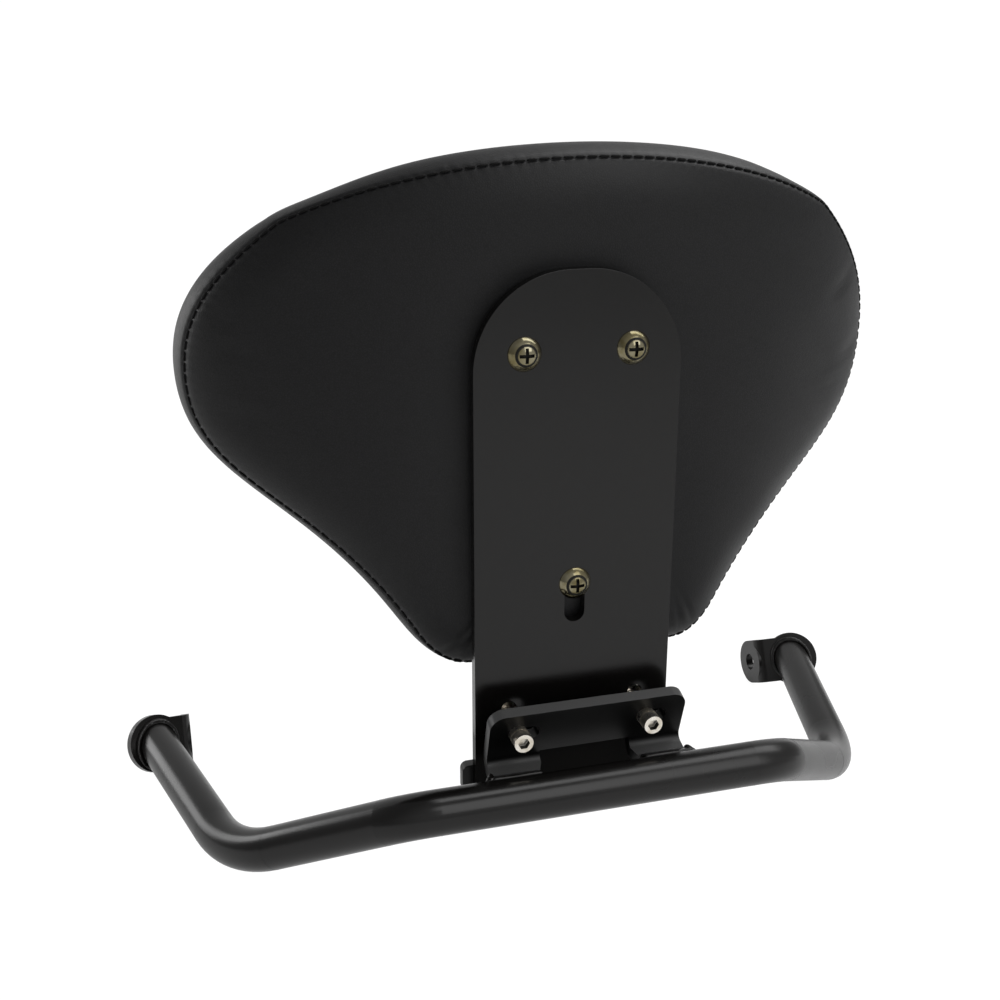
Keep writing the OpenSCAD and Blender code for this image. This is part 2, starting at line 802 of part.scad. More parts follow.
function swap(l) = [for (i = [len(l) - 1:-1:0]) l[i]];
mid_p = [0, pad_mid_z];
rear_tip_y = rear_y(mid_p, 0);
front_tip_y = front_y(mid_p, 0);

module screw_holes(d) {
    at_pad_screws() cylinder(d = d, h = 2 * board_front);
}

module back_cover() {
    color(black_hide) difference() {
        ring_body([0, rear_tip_y, pad_mid_z],
            concat([for (f = fs) rear_ring(f, 0, 0)], swap([for (f = fs) rear_ring(f, 0, cover_t)])),
            [0, rear_tip_y + cover_t, pad_mid_z]);
        screw_holes(pad_screw_d + 1);
    }
}

module front_cover() {
    color(black_hide) ring_body([0, front_tip_y - cover_t, pad_mid_z],
        concat([for (f = fs) front_ring(f, 0, cover_t)], swap([for (f = fs) front_ring(f, 0, 0)])),
        [0, front_tip_y, pad_mid_z]);
}

module foam_core() {
    e = cover_t + 2 * soft_gap;
    color([0.75, 0.72, 0.6]) difference() {
        ring_body([0, rear_tip_y + e, pad_mid_z],
            concat([for (f = fs) rear_ring(f, e, e)],
                [for (s = [0.25, 0.5, 0.75]) band_ring(s, e)],
                swap([for (f = fs) front_ring(f, e, e)])),
            [0, front_tip_y - e, pad_mid_z]);
        on_bar() translate([pad_set, board_front + soft_gap, board_mid_z]) rotate([90, 0, 0])
            linear_extrude(height = board_front) board_outline(soft_gap);
        at_pad_screws() {
            cylinder(d = tee_d + 1, h = board_front + tee_t + soft_gap);
            cylinder(d = pad_screw_d + 1, h = pad_screw_end + 1);
        }
    }
}

band_s = [0, 0.25, 0.5, 0.75, 1];

module side_band() {
    rings = concat([for (s = band_s) band_ring(s, 0)], swap([for (s = band_s) band_ring(s, cover_t)]));
    last = (len(rings) - 1) * ring_n;
    faces = concat(join_rings(rings, 0), [for (i = [0:ring_n - 1]) let (j = (i + 1) % ring_n)
        each [[last + i, i, j], [last + i, j, last + j]]]);
    color(black_hide) on_bar() translate([pad_set, 0, 0])
        polyhedron(points = [for (r = rings) each r], faces = faces);
}

bent_tube();
left_mount_tab();
right_mount_tab();
left_tab_weld();
right_tab_weld();
slotted_bracket();
left_foot_weld();
right_foot_weld();
upright_plate();
plate_foot_bar();
left_clamp_screw();
right_clamp_screw();
left_head_collar();
right_head_collar();
left_spacer_sleeve();
right_spacer_sleeve();
left_clamp_washer();
right_clamp_washer();
left_clamp_nut();
right_clamp_nut();
upper_left_pad_screw();
upper_right_pad_screw();
lower_pad_screw();
upper_left_tee_nut();
upper_right_tee_nut();
lower_tee_nut();
pad_board();
foam_core();
back_cover();
side_band();
front_cover();
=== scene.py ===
import bpy, bmesh, json, math
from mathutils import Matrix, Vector, kdtree


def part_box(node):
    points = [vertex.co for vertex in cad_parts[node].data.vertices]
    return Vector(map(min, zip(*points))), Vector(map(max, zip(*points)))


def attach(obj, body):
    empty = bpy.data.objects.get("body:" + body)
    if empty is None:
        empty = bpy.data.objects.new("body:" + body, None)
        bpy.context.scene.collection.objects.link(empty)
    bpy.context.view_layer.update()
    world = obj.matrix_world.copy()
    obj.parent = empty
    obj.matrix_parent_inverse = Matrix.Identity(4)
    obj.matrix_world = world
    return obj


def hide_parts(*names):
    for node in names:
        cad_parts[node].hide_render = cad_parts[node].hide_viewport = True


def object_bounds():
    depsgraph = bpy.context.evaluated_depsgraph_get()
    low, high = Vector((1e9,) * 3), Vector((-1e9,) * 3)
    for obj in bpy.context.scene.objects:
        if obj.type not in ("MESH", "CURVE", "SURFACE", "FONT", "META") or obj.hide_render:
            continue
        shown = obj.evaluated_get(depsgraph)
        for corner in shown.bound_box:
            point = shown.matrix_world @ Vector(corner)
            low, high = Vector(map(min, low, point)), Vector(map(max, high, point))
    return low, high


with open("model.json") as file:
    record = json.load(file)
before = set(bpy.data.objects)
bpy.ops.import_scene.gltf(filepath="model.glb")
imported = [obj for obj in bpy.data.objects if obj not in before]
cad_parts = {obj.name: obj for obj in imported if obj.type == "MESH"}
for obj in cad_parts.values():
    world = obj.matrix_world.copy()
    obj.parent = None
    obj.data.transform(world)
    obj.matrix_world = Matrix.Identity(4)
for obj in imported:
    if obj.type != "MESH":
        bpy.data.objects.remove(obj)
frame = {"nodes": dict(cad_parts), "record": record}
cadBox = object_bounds()
nodes = frame["nodes"]
scene = bpy.context.scene
mm = 0.001
barOrigin = Vector((0, -0.210352, 0.05667))  # middle of the tube, seen from the tab holes
print("model loaded:", len(nodes), "nodes")


# camera and studio

studio = {
    "cameraPlace": (-0.20204, -0.73567, 0.40123),
    "cameraTurn": (70.88, 0, -16.02),
    "lens": 46.82,
    "floorGap": 0.002,
    "floorSize": 8.0,
    "wallHigh": 6.0,
    "seenGlow": 0.97,  # floor as the camera sees it
    "seenShade": 0.12,
    "mirroredGlow": 0.44,  # floor as it shows in reflections
    "mirroredShade": 0.52,
    "plainFloor": 0.8,
    "worldGlow": 0.28,
    "roomGlow": 0.72,  # the room behind the camera is lighter
    "roomSide": (0.35, -0.9, 0.2),
}
lamps = {  # place, target, size, power
    "sideSoftbox": ((-1.0, 0.7, 0.30), (0, -0.1, 0.05), (0.45, 0.5), 3.2),
    "topSoftbox": ((0.63, 0.04, 1.3), (0, -0.1, 0.05), (0.8, 1.4), 12),
    "rearSoftbox": ((0.45, -1.15, 0.95), (0, -0.1, 0.1), (0.9, 1.0), 6),
}


def addCamera():
    cam = bpy.data.cameras.new("photoCamera")
    cam.sensor_width = 36
    cam.lens = studio["lens"]
    cam.clip_start = 0.01
    ob = bpy.data.objects.new("photoCamera", cam)
    ob.location = studio["cameraPlace"]
    ob.rotation_euler = [math.radians(a) for a in studio["cameraTurn"]]
    scene.collection.objects.link(ob)
    scene.camera = ob


def addLamp(name):
    place, target, size, power = lamps[name]
    lamp = bpy.data.lights.new(name, "AREA")
    lamp.shape = "RECTANGLE"
    lamp.size, lamp.size_y = size
    lamp.energy = power
    ob = bpy.data.objects.new(name, lamp)
    ob.location = place
    ob.rotation_euler = (Vector(target) - Vector(place)).to_track_quat("-Z", "Y").to_euler()
    scene.collection.objects.link(ob)


def floorMaterial():
    mat = bpy.data.materials.new("paleStudio")
    mat.use_nodes = True
    tree = mat.node_tree
    tree.nodes.clear()
    link = tree.links.new
    out = tree.nodes.new("ShaderNodeOutputMaterial")
    mix = tree.nodes.new("ShaderNodeMixShader")
    glow = tree.nodes.new("ShaderNodeEmission")
    plain = tree.nodes.new("ShaderNodeBsdfDiffuse")
    both = tree.nodes.new("ShaderNodeAddShader")
    soft = tree.nodes.new("ShaderNodeBsdfDiffuse")
    path = tree.nodes.new("ShaderNodeLightPath")
    seen = tree.nodes.new("ShaderNodeMath")
    seenToo = tree.nodes.new("ShaderNodeMath")
    seen.operation = seenToo.operation = "MAXIMUM"
    strength = tree.nodes.new("ShaderNodeMath")
    strength.operation = "MULTIPLY_ADD"
    strength.inputs[1].default_value = studio["seenGlow"] - studio["mirroredGlow"]
    strength.inputs[2].default_value = studio["mirroredGlow"]
    link(path.outputs["Is Camera Ray"], strength.inputs[0])
    link(strength.outputs[0], glow.inputs["Strength"])
    tint = tree.nodes.new("ShaderNodeMix")
    tint.data_type = "RGBA"
    tint.inputs[6].default_value = (*[studio["mirroredShade"]] * 3, 1)
    tint.inputs[7].default_value = (*[studio["seenShade"]] * 3, 1)
    link(path.outputs["Is Camera Ray"], tint.inputs[0])
    link(tint.outputs[2], soft.inputs["Color"])
    plain.inputs["Color"].default_value = (*[studio["plainFloor"]] * 3, 1)
    link(path.outputs["Is Camera Ray"], seen.inputs[0])
    link(path.outputs["Is Glossy Ray"], seen.inputs[1])
    link(seen.outputs[0], seenToo.inputs[0])
    link(path.outputs["Is Transmission Ray"], seenToo.inputs[1])
    link(glow.outputs[0], both.inputs[0])
    link(soft.outputs[0], both.inputs[1])
    link(seenToo.outputs[0], mix.inputs[0])
    link(plain.outputs[0], mix.inputs[1])
    link(both.outputs[0], mix.inputs[2])
    link(mix.outputs[0], out.inputs[0])
    return mat


def addFloor():
    floorZ = cadBox[0].z - studio["floorGap"]
    bpy.ops.object.select_all(action="DESELECT")
    bpy.ops.mesh.primitive_plane_add(size=studio["floorSize"], location=(0, 0, floorZ))
    floor = bpy.context.object
    floor.name = "studioFloor"
    bpy.ops.object.mode_set(mode="EDIT")
    bpy.ops.mesh.select_all(action="DESELECT")
    bpy.ops.object.mode_set(mode="OBJECT")
    for e in floor.data.edges:  # far edge only
        e.select = all(floor.data.vertices[v].co.y > 0 for v in e.vertices)
    bpy.ops.object.mode_set(mode="EDIT")
    bpy.ops.mesh.extrude_region_move(TRANSFORM_OT_translate={"value": (0, 0, studio["wallHigh"])})
    bpy.ops.object.mode_set(mode="OBJECT")
    floor.data.materials.append(floorMaterial())
    bpy.ops.object.transform_apply(location=True)


def addWorld():
    world = bpy.data.worlds.new("studioWorld")
    scene.world = world
    world.use_nodes = True
    tree = world.node_tree
    link = tree.links.new
    where = tree.nodes.new("ShaderNodeTexCoord")
    facing = tree.nodes.new("ShaderNodeVectorMath")
    facing.operation = "DOT_PRODUCT"
    facing.inputs[1].default_value = studio["roomSide"]
    glow = tree.nodes.new("ShaderNodeMapRange")
    glow.interpolation_type = "SMOOTHSTEP"
    glow.inputs["To Min"].default_value = studio["worldGlow"]
    glow.inputs["To Max"].default_value = studio["roomGlow"]
    path = tree.nodes.new("ShaderNodeLightPath")
    white = tree.nodes.new("ShaderNodeMath")  # plain white for the camera
    white.operation = "MAXIMUM"
    link(where.outputs["Generated"], facing.inputs[0])
    link(facing.outputs["Value"], glow.inputs["Value"])
    link(glow.outputs["Result"], white.inputs[0])
    link(path.outputs["Is Camera Ray"], white.inputs[1])
    link(white.outputs[0], tree.nodes["Background"].inputs["Strength"])
    tree.nodes["Background"].inputs["Color"].default_value = (1, 1, 1, 1)


addCamera()
addFloor()
addWorld()
for name in lamps:
    addLamp(name)
scene.view_settings.view_transform = "Standard"
print("studio ready")


# finishes

def newMaterial(name, base, roughness, metallic=0.0, specular=0.5):
    mat = bpy.data.materials.new(name)
    mat.use_nodes = True
    shader = mat.node_tree.nodes["Principled BSDF"]
    shader.inputs["Base Color"].default_value = (*base, 1)
    shader.inputs["Roughness"].default_value = roughness
    shader.inputs["Metallic"].default_value = metallic
    shader.inputs["Specular IOR Level"].default_value = specular
    return mat, mat.node_tree, shader


def objectNoise(tree, scale, detail=4.0, stretch=(1, 1, 1)):
    where = tree.nodes.new("ShaderNodeTexCoord")
    turn = tree.nodes.new("ShaderNodeMapping")
    turn.inputs["Scale"].default_value = stretch
    tex = tree.nodes.new("ShaderNodeTexNoise")
    tex.inputs["Scale"].default_value = scale
    tex.inputs["Detail"].default_value = detail
    tree.links.new(where.outputs["Object"], turn.inputs["Vector"])
    tree.links.new(turn.outputs["Vector"], tex.inputs["Vector"])
    return tex.outputs["Fac"]


def partOf(tree, kind, axis):  # one axis of the object's coordinates or normal
    where = tree.nodes.new("ShaderNodeTexCoord")
    parts = tree.nodes.new("ShaderNodeSeparateXYZ")
    tree.links.new(where.outputs[kind], parts.inputs[0])
    return parts.outputs[axis]


def rangeOf(tree, source, low, high, fromLow=0.35, fromHigh=0.65):
    part = tree.nodes.new("ShaderNodeMapRange")
    part.inputs["From Min"].default_value = fromLow
    part.inputs["From Max"].default_value = fromHigh
    part.inputs["To Min"].default_value = low
    part.inputs["To Max"].default_value = high
    tree.links.new(source, part.inputs["Value"])
    return part.outputs["Result"]


def blendColours(tree, factor, dark, light):
    ramp = tree.nodes.new("ShaderNodeMix")
    ramp.data_type = "RGBA"
    ramp.inputs[6].default_value = (*dark, 1)
    ramp.inputs[7].default_value = (*light, 1)
    tree.links.new(factor, ramp.inputs[0])
    return ramp


def addTint(tree, shader, source, dark, light):
    ramp = blendColours(tree, rangeOf(tree, source, 0, 1), dark, light)
    tree.links.new(ramp.outputs[2], shader.inputs["Base Color"])


def addRoughness(tree, shader, source, low, high):
    tree.links.new(rangeOf(tree, source, low, high), shader.inputs["Roughness"])


def addBump(tree, shader, height, strength, distance, after=None):
    bump = tree.nodes.new("ShaderNodeBump")
    bump.inputs["Strength"].default_value = strength
    bump.inputs["Distance"].default_value = distance
    tree.links.new(height, bump.inputs["Height"])
    if after:
        tree.links.new(after, bump.inputs["Normal"])
    tree.links.new(bump.outputs["Normal"], shader.inputs["Normal"])
    return bump.outputs["Normal"]


def powderCoat(name, base, roughness, specular, peel):
    mat, tree, shader = newMaterial(name, base, roughness, specular=specular)
    broad = objectNoise(tree, 9)
    addRoughness(tree, shader, broad, roughness - 0.04, roughness + 0.05)
    addTint(tree, shader, broad, base, [c * 1.4 + 0.0005 for c in base])
    first = addBump(tree, shader, objectNoise(tree, 900, 2), 0.10, 0.0001)
    addBump(tree, shader, objectNoise(tree, 260, 2), peel, 0.0003, first)
    return mat


paintedTopLight = {"colour": (0.065, 0.065, 0.065), "share": 0.85, "from": 0.5, "full": 0.75}  # painted top light, a lighter colour on faces that point up; from, full: how far it faces up
plateFootShade = {"gloss": 0.03, "from": 0.074, "to": 0.086}  # painted shade: the plate loses its gloss low down; from, to: heights in metres


def paintTopLight(mat):  # painted top light: a lighter colour on what faces up
    tree = mat.node_tree
    shader = tree.nodes["Principled BSDF"]
    up = rangeOf(tree, partOf(tree, "Normal", "Z"), 0, paintedTopLight["share"], paintedTopLight["from"], paintedTopLight["full"])
    mix = blendColours(tree, up, paintedTopLight["colour"], paintedTopLight["colour"])
    tree.links.new(shader.inputs["Base Color"].links[0].from_socket, mix.inputs[6])
    tree.links.new(mix.outputs[2], shader.inputs["Base Color"])


def paintFootShade(mat):  # painted shade: no gloss where the plate stands behind the bracket, so it renders dark there
    tree = mat.node_tree
    gloss = tree.nodes["Principled BSDF"].inputs["Specular IOR Level"]
    height = partOf(tree, "Object", "Z")
    level = rangeOf(tree, height, plateFootShade["gloss"], gloss.default_value, plateFootShade["from"], plateFootShade["to"])
    tree.links.new(level, gloss)


def speckled(name, base, noise, roughness, dark, light, bump):  # bare or plated metal
    mat, tree, shader = newMaterial(name, base, 0.2, 1.0)
    spots = objectNoise(tree, noise, 5)
    addRoughness(tree, shader, spots, *roughness)
    addTint(tree, shader, spots, dark, light)
    addBump(tree, shader, spots, bump, 0.0001)
    return mat


def vinylFinish():
    mat, tree, shader = newMaterial("coverVinyl", (0.005, 0.005, 0.0055), 0.44, specular=0.23)
    where = tree.nodes.new("ShaderNodeTexCoord")
    grain = tree.nodes.new("ShaderNodeTexVoronoi")
    grain.feature = "DISTANCE_TO_EDGE"
    grain.inputs["Scale"].default_value = 900
    tree.links.new(where.outputs["Object"], grain.inputs["Vector"])
    pores = rangeOf(tree, grain.outputs["Distance"], 0, 1, 0.0, 0.25)
    addRoughness(tree, shader, objectNoise(tree, 14, 3), 0.42, 0.52)
    ramp = blendColours(tree, pores, (0.003, 0.003, 0.0033), (0.0065, 0.0065, 0.007))
    tree.links.new(ramp.outputs[2], shader.inputs["Base Color"])
    first = addBump(tree, shader, pores, 0.22, 0.00015)
    addBump(tree, shader, objectNoise(tree, 420, 4), 0.18, 0.0003, first)
    return mat


def threadFinish():
    mat, tree, shader = newMaterial("blackThread", (0.0015, 0.0015, 0.0015), 0.75, specular=0.15)
    twist = objectNoise(tree, 2600, 1)
    addBump(tree, shader, twist, 0.5, 0.0002)
    addRoughness(tree, shader, twist, 0.6, 0.8)
    return mat


def foamFinish():
    mat, tree, shader = newMaterial("padFoam", (0.6, 0.56, 0.42), 0.95, specular=0.2)
    cells = objectNoise(tree, 700, 3)
    addTint(tree, shader, cells, (0.5, 0.46, 0.33), (0.68, 0.64, 0.5))
    addBump(tree, shader, cells, 0.5, 0.0005)
    return mat


def boardFinish():
    mat, tree, shader = newMaterial("boardWood", (0.45, 0.33, 0.2), 0.7)
    rings = objectNoise(tree, 60, 6, (1, 1, 0.12))
    addTint(tree, shader, rings, (0.32, 0.22, 0.12), (0.55, 0.42, 0.27))
    addBump(tree, shader, rings, 0.3, 0.0003)
    return mat


finish = {
    "tubeBlack": powderCoat("tubeBlack", (0.0036, 0.0033, 0.0031), 0.25, 0.32, 0.04),
    "bracketBlack": powderCoat("bracketBlack", (0.0015, 0.0015, 0.0015), 0.34, 0.17, 0.04),
    "plateBlack": powderCoat("plateBlack", (0.0022, 0.0020, 0.0018), 0.20, 0.33, 0.02),
    # painted highlight for the bracket's rear edge
    "paintedEdgeHighlight": powderCoat("paintedEdgeHighlight", (0.28, 0.28, 0.28), 0.30, 0.5, 0.02),
    # painted shade for the screw recesses
    "paintedRecessShade": powderCoat("paintedRecessShade", (0.004, 0.004, 0.003), 0.6, 0.2, 0.05),
    "screwSilver": speckled("screwSilver", (0.85, 0.82, 0.76), 220, (0.26, 0.40),
                            (0.80, 0.77, 0.71), (0.66, 0.60, 0.50), 0.04),
    "screwOlive": speckled("screwOlive", (0.2, 0.18, 0.12), 160, (0.10, 0.22),
                           (0.25, 0.23, 0.16), (0.16, 0.135, 0.065), 0.06),
    "coverVinyl": vinylFinish(),
    "blackThread": threadFinish(),
    "padFoam": foamFinish(),
    "boardWood": boardFinish(),
}
# painted shade on the plate's foot behind the bracket
paintFootShade(finish["plateBlack"])
# painted top light on the bracket's up-facing faces
paintTopLight(finish["bracketBlack"])

finishOfSlot = {
    "tube_black": "tubeBlack",
    "bracket_black": "bracketBlack",
    "plate_black": "plateBlack",
    "screw_silver": "screwSilver",
    "screw_dark": "screwOlive",
    "board_wood": "boardWood",
    "pad_foam": "padFoam",
    "cover_black": "coverVinyl",
}


def dressNodes():
    slots = {p["node"]: p["material_slot"] for p in frame["record"]["subparts"]}
    for name, ob in nodes.items():
        ob.data.materials.clear()
        ob.data.materials.append(finish[finishOfSlot[slots[name]]])


dressNodes()
print("finishes ready:", len(finish))


# metal pieces with softened edges, from merged copies of their solids

softEdges = {  # node: finish, edge radius in mm, segments
    "upright_plate": ("plateBlack", 0.45, 2),
    "slotted_bracket": ("bracketBlack", 0.7, 3),
    "plate_foot_bar": ("bracketBlack", 0.6, 2),
    "left_mount_tab": ("tubeBlack", 0.5, 2),
    "right_mount_tab": ("tubeBlack", 0.5, 2),
    "left_clamp_screw": ("screwSilver", 0.2, 2),
    "right_clamp_screw": ("screwSilver", 0.2, 2),
    "left_clamp_nut": ("screwSilver", 0.4, 2),
    "right_clamp_nut": ("screwSilver", 0.4, 2),
    "left_clamp_washer": ("screwSilver", 0.25, 2),
    "right_clamp_washer": ("screwSilver", 0.25, 2),
    "upper_left_pad_screw": ("screwOlive", 0.25, 2),
    "upper_right_pad_screw": ("screwOlive", 0.25, 2),
    "lower_pad_screw": ("screwOlive", 0.25, 2),
}
edges = {"merge": 0.000002, "flat": 0.8, "sharp": 32, "smooth": 38}  # metres, then degrees
detail = {  # where the painted recess shade and edge highlight go, in mm; steep and rise are parts of a face's normal
    "socketWide": 2.9, "socketDeep": 4,
    "crossWide": 5.4, "crossFrom": 0.9, "crossTo": 4.4, "crossMiddle": 0.5,
    "edgeBand": 10, "steep": 0.5, "rise": 0.05,
}


def pieceName(node, ending):
    words = node.split("_")
    return words[0] + "".join(w.capitalize() for w in words[1:]) + ending


def mergedCopy(node, ending):
    bpy.ops.object.select_all(action="DESELECT")
    ob = bpy.data.objects.new(pieceName(node, ending), nodes[node].data.copy())
    scene.collection.objects.link(ob)
    bpy.context.view_layer.objects.active = ob
    ob.select_set(True)
    bpy.ops.mesh.customdata_custom_splitnormals_clear()
    bpy.ops.object.mode_set(mode="EDIT")
    bpy.ops.mesh.select_all(action="SELECT")
    bpy.ops.mesh.remove_doubles(threshold=edges["merge"])
    bpy.ops.object.mode_set(mode="OBJECT")
    return ob


def applyModifier(ob, kind, **settings):
    step = ob.modifiers.new(kind.lower(), kind)
    for key, value in settings.items():
        setattr(step, key, value)
    bpy.context.view_layer.objects.active = ob
    bpy.ops.object.modifier_apply(modifier=step.name)


def dressPiece(ob, node, finishName):
    ob.data.materials.clear()
    ob.data.materials.append(finish[finishName])
    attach(ob, "root")
    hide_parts(node)


def paintFaces(ob, finishName, wanted):
    ob.data.materials.append(finish[finishName])
    for face in ob.data.polygons:
        if wanted(face):
            face.material_index = 1


# painted shade in the screw recesses and a painted highlight on the bracket's rear edge
def paintDetail(ob, node):
    low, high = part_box(node)
    centreX, centreZ = (low.x + high.x) / 2, (low.z + high.z) / 2

    def offAxis(face):
        return Vector((face.center.x - centreX, face.center.z - centreZ)).length / mm

    def inSocket(face):  # painted shade on the walls of the hex only
        deep = face.center.y < low.y + detail["socketDeep"] * mm
        return deep and offAxis(face) < detail["socketWide"] and abs(face.normal.y) < detail["steep"]

    # painted shade in the cross recess
    def inCross(face):
        first, last = low.y + detail["crossFrom"] * mm, low.y + detail["crossTo"] * mm
        inside = first < face.center.y < last and offAxis(face) < detail["crossWide"]
        return inside and (offAxis(face) > detail["crossMiddle"] or abs(face.normal.y) > detail["steep"])

    def highlightEdgeFaces(face):  # painted highlight: a light finish on the bracket's rear upper edge
        turned = face.normal.y < -detail["steep"] and face.normal.z > detail["rise"]
        return turned and face.center.z > high.z - detail["edgeBand"] * mm

    if node.endswith("pad_screw"):
        paintFaces(ob, "paintedRecessShade", inCross)
    elif node.endswith("clamp_screw"):
        paintFaces(ob, "paintedRecessShade", inSocket)
    elif node == "slotted_bracket":
        paintFaces(ob, "paintedEdgeHighlight", highlightEdgeFaces)


def softened(node):
    finishName, radius, segments = softEdges[node]
    ob = mergedCopy(node, "Softened")
    bpy.ops.object.mode_set(mode="EDIT")
    bpy.ops.mesh.select_all(action="SELECT")
    bpy.ops.mesh.dissolve_limited(angle_limit=math.radians(edges["flat"]))
    bpy.ops.object.mode_set(mode="OBJECT")
    applyModifier(ob, "BEVEL", width=radius * mm, segments=segments, limit_method="ANGLE",
                  angle_limit=math.radians(edges["sharp"]), use_clamp_overlap=True)
    bpy.ops.object.shade_smooth_by_angle(angle=math.radians(edges["smooth"]))
    applyModifier(ob, "WEIGHTED_NORMAL", keep_sharp=True)
    dressPiece(ob, node, finishName)
    paintDetail(ob, node)


for node in softEdges:
    softened(node)
print("softened pieces ready:", len(softEdges))


# weld beads

welds = {
    "nodes": ("left_tab_weld", "right_tab_weld", "left_foot_weld", "right_foot_weld"),
    "voxel": 0.55, "smoothing": 0.5, "rounds": 9, "footGrowth": 0.8,
    "lumpSize": 3.2, "lump": 0.3, "lumpMiddle": 0.45, "rippleSize": 1.2, "ripple": 0.3, "rippleMiddle": 0.5,
}


def weldNoise(name, size):
    tex = bpy.data.textures.new(name, "CLOUDS")
    tex.noise_scale = size * mm
    tex.noise_depth = 1
    return tex


lumpNoise = weldNoise("weldLumps", welds["lumpSize"])
rippleNoise = weldNoise("weldRipples", welds["rippleSize"])


def beaded(node):
    ob = mergedCopy(node, "Beaded")
    applyModifier(ob, "REMESH", mode="VOXEL", voxel_size=welds["voxel"] * mm)
    applyModifier(ob, "SMOOTH", factor=welds["smoothing"], iterations=welds["rounds"])
    if "foot" in node:
        applyModifier(ob, "DISPLACE", strength=welds["footGrowth"] * mm, mid_level=0)
    applyModifier(ob, "DISPLACE", texture=lumpNoise, strength=welds["lump"] * mm,
                  mid_level=welds["lumpMiddle"])
    applyModifier(ob, "DISPLACE", texture=rippleNoise, strength=welds["ripple"] * mm,
                  mid_level=welds["rippleMiddle"])
    bpy.ops.object.shade_smooth()
    dressPiece(ob, node, "tubeBlack")


for node in welds["nodes"]:
    beaded(node)
print("weld beads ready:", len(welds["nodes"]))


# threads on the clamp screws, in front of the nuts

thread = {
    "radius": 3.0, "pitch": 1.0, "ridge": 0.405, "turns": 6, "steps": 24, "smooth": 40,
    "fromY": 45.8, "up": 26.2, "apart": 33.7, "set": -3.3,
}


def threadRidge(name, side):
    t = thread
    bpy.ops.object.select_all(action="DESELECT")
    bpy.ops.mesh.primitive_circle_add(vertices=3, radius=t["ridge"] * mm, fill_type="NOTHING",
                                      location=(t["radius"] * mm, 0, 0), rotation=(math.radians(90), 0, 0))
    ob = bpy.context.object
    ob.name = name
    bpy.ops.object.transform_apply(location=True, rotation=True)
    applyModifier(ob, "SCREW", angle=math.radians(360), screw_offset=t["pitch"] * mm, iterations=t["turns"],
                  steps=t["steps"], render_steps=t["steps"], use_merge_vertices=False, axis="Z")
    bpy.ops.object.mode_set(mode="EDIT")
    bpy.ops.mesh.select_all(action="DESELECT")
    bpy.ops.mesh.select_non_manifold()
    bpy.ops.mesh.edge_face_add()
    bpy.ops.mesh.select_all(action="SELECT")
    bpy.ops.mesh.normals_make_consistent(inside=False)
    bpy.ops.object.mode_set(mode="OBJECT")
    ob.rotation_euler = (math.radians(-90), 0, 0)
    ob.location = Vector((t["set"] + side * t["apart"], t["fromY"], t["up"])) * mm + barOrigin
    bpy.ops.object.transform_apply(location=True, rotation=True)
    bpy.ops.object.shade_smooth_by_angle(angle=math.radians(t["smooth"]))
    ob.data.materials.append(finish["screwSilver"])
    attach(ob, "root")


threadRidge("leftScrewThread", -1)
threadRidge("rightScrewThread", 1)
print("threads ready")


# pad, from its solids' numbers; set, edgeDrop and bandSwell differ, fitted to the photograph

pad = {
    "half": 183, "top": 299.8, "wideAt": 196.6,
    "cornerX": 138, "cornerAt": 271, "footHalf": 81, "footAt": 50, "footTurn": 17,
    "toeReach": 0.6, "toeIn": 1.4,  # shares of footTurn
    "topReach": 64, "cornerInReach": 31, "cornerOutReach": 50, "wideInReach": 20,
    "wideOutReach": 57, "footReach": 92,
    "cornerInSlope": 27, "cornerOutSlope": 39, "footSlope": 59,
    "bandDeep": 36, "bandSwell": 5.2, "sideSwell": 0.8, "topSwell": 0.2,
    "edgeDrop": -1.2, "edgeTurn": 8, "seamLean": 5,
    "frontSwell": 12, "frontTurn": 4, "wingSweep": 62, "wingTurn": 2.2, "set": 3.2, "rearAt": 39.6,
    "crown": 5.4, "crownWide": 22, "drawIn": 6.0, "drawWide": 36, "drawAt": (126, 277),
    "rise": 4.0, "riseWide": 15, "plateHalf": 51.2, "plateSet": -3.3, "plateTop": 250.5,
    "around": (116, 80, 140, 20, 40),  # points on each part of half the outline
    "panelRows": 26, "panelCrowding": 2.6, "bandRows": 18,
    "softReach": 6, "lineRounds": 3, "turnRounds": 2, "panelSoft": 6, "bandSoft": 2,
    "grooveDeep": 1.8, "grooveWide": 1.3, "puckerDeep": 0.3, "puckerWide": 4.0, "stitchPitch": 5.6,
    "foldAt": ((-57, 62, 14, 66, 1.0), (-62, 66, 12, 50, 0.7), (62, 66, 12, 118, 0.8), (57, 60, 13, 105, 0.9)),
    "foldWide": 1.6,
}
rearSeamRow = pad["panelRows"] - 1
frontSeamRow = rearSeamRow + pad["bandRows"]


def bezier(a, b, c, d, s):
    return a * (1 - s) ** 3 + b * 3 * s * (1 - s) ** 2 + c * 3 * s * s * (1 - s) + d * s ** 3


def slopeDir(deg):
    return Vector((math.cos(math.radians(deg)), math.sin(math.radians(deg))))


